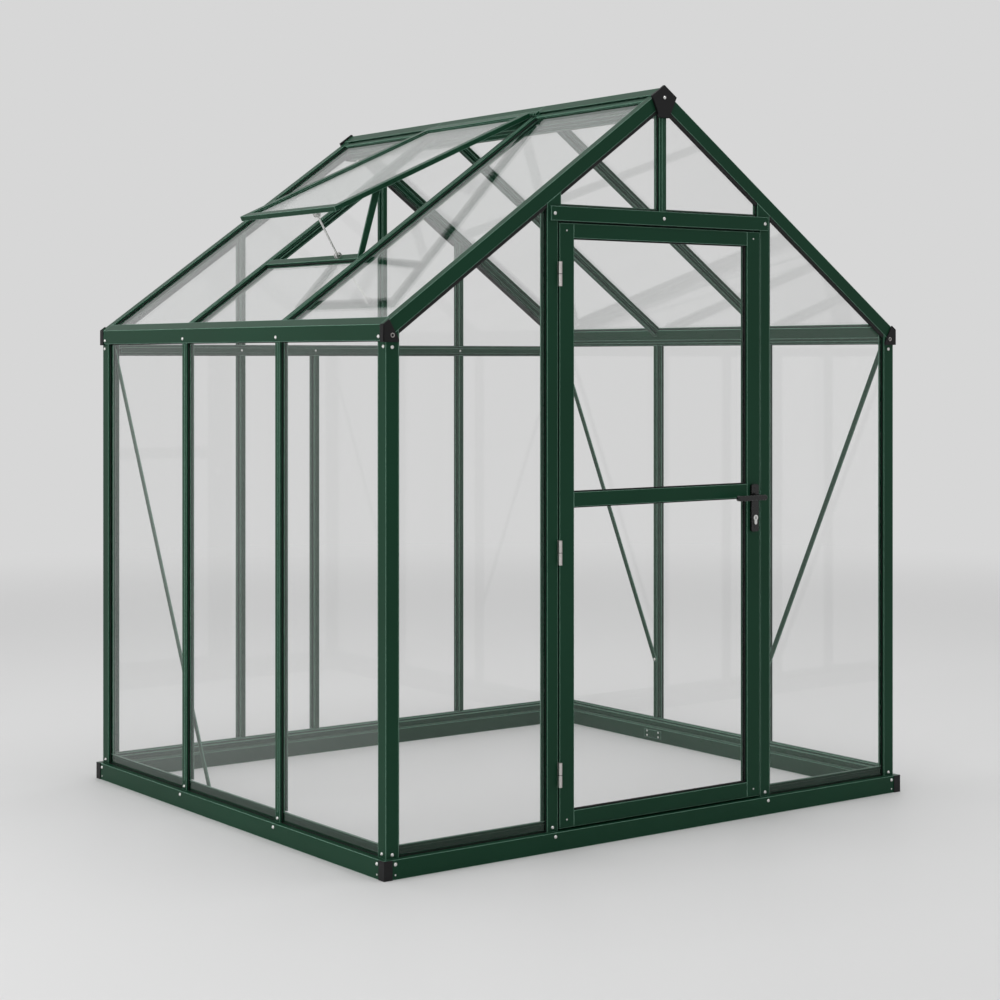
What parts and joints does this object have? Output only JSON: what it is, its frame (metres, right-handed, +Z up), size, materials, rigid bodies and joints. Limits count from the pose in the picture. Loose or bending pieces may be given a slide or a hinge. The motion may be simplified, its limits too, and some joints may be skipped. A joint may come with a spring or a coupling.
{
  "type": "glass greenhouse",
  "caption": "Free-standing gabled glass greenhouse: slim green metal frame on a base rail, clear panes, hinged door with lever handles, and a roof vent held open by stays.",
  "frame": {"origin": "on the ground, under the middle of the front wall's outer face, below the doorway", "axes": "+X to the right as one faces the door, +Y in through the door towards the back wall, +Z up"},
  "size_m": [1.932, 1.7315, 2.14],
  "materials": {
    "green_coat": "satin dark green powder coat on aluminium extrusions",
    "black_plastic": "moulded black plastic",
    "black_metal": "satin black coated die casting",
    "steel": "plain zinc-plated and stainless steel",
    "glass": "clear toughened glass with a faint green edge"
  },
  "bodies": {
    "frame": {"base_corner_plates": "green_coat", "base_rail_front": "green_coat", "base_rail_back": "green_coat", "base_rail_left": "green_coat", "base_rail_right": "green_coat", "end_sills": "green_coat", "side_sills": "green_coat", "corner_posts": "green_coat", "side_studs": "green_coat", "back_studs": "green_coat", "gable_uprights_back": "green_coat", "tie_bar_back": "green_coat", "eave_beams": "green_coat", "ridge_beam": "green_coat", "ridge_cap": "green_coat", "gable_rafters_left": "green_coat", "gable_rafters_right": "green_coat", "roof_rafters": "green_coat", "door_jambs": "green_coat", "door_header": "green_coat", "gable_mullion_front": "green_coat", "vent_sill": "green_coat", "vent_hinge_rail": "green_coat", "vent_frame": "green_coat", "vent_side_stay": "green_coat", "diagonal_braces": "green_coat", "base_corner_caps": "black_plastic", "ridge_end_caps": "black_plastic", "eave_brackets": "black_plastic", "glass_left": "glass", "glass_right": "glass", "glass_front": "glass", "glass_gable_front": "glass", "glass_back": "glass", "glass_gable_back": "glass", "glass_roof_left": "glass", "glass_roof_right": "glass", "vent_glass": "glass", "vent_stay_eyes": "steel", "vent_stay_rod": "steel", "hinges_jamb": "steel"},
    "door": {"door_stiles": "green_coat", "door_rails": "green_coat", "door_glass": "glass", "hinges_leaf": "steel", "lock_plates": "black_metal", "lock_cylinder": "steel"},
    "handle": {"lever_handles": "black_metal"}
  },
  "joints": [
    {"name": "door_hinge", "type": "hinge", "parent": "frame", "child": "door", "pos_m": [-0.38, -0.008, 0.8945], "axis": [0, 0, -1], "range_deg": [0, 100]},
    {"name": "lever_turn", "type": "hinge", "parent": "door", "child": "handle", "pos_m": [0.352, 0.012, 0.947], "axis": [0, -1, 0], "range_deg": [0, 40], "stiffness_Nm_per_rad": 1.2, "springref_deg": -20.05}
  ]
}
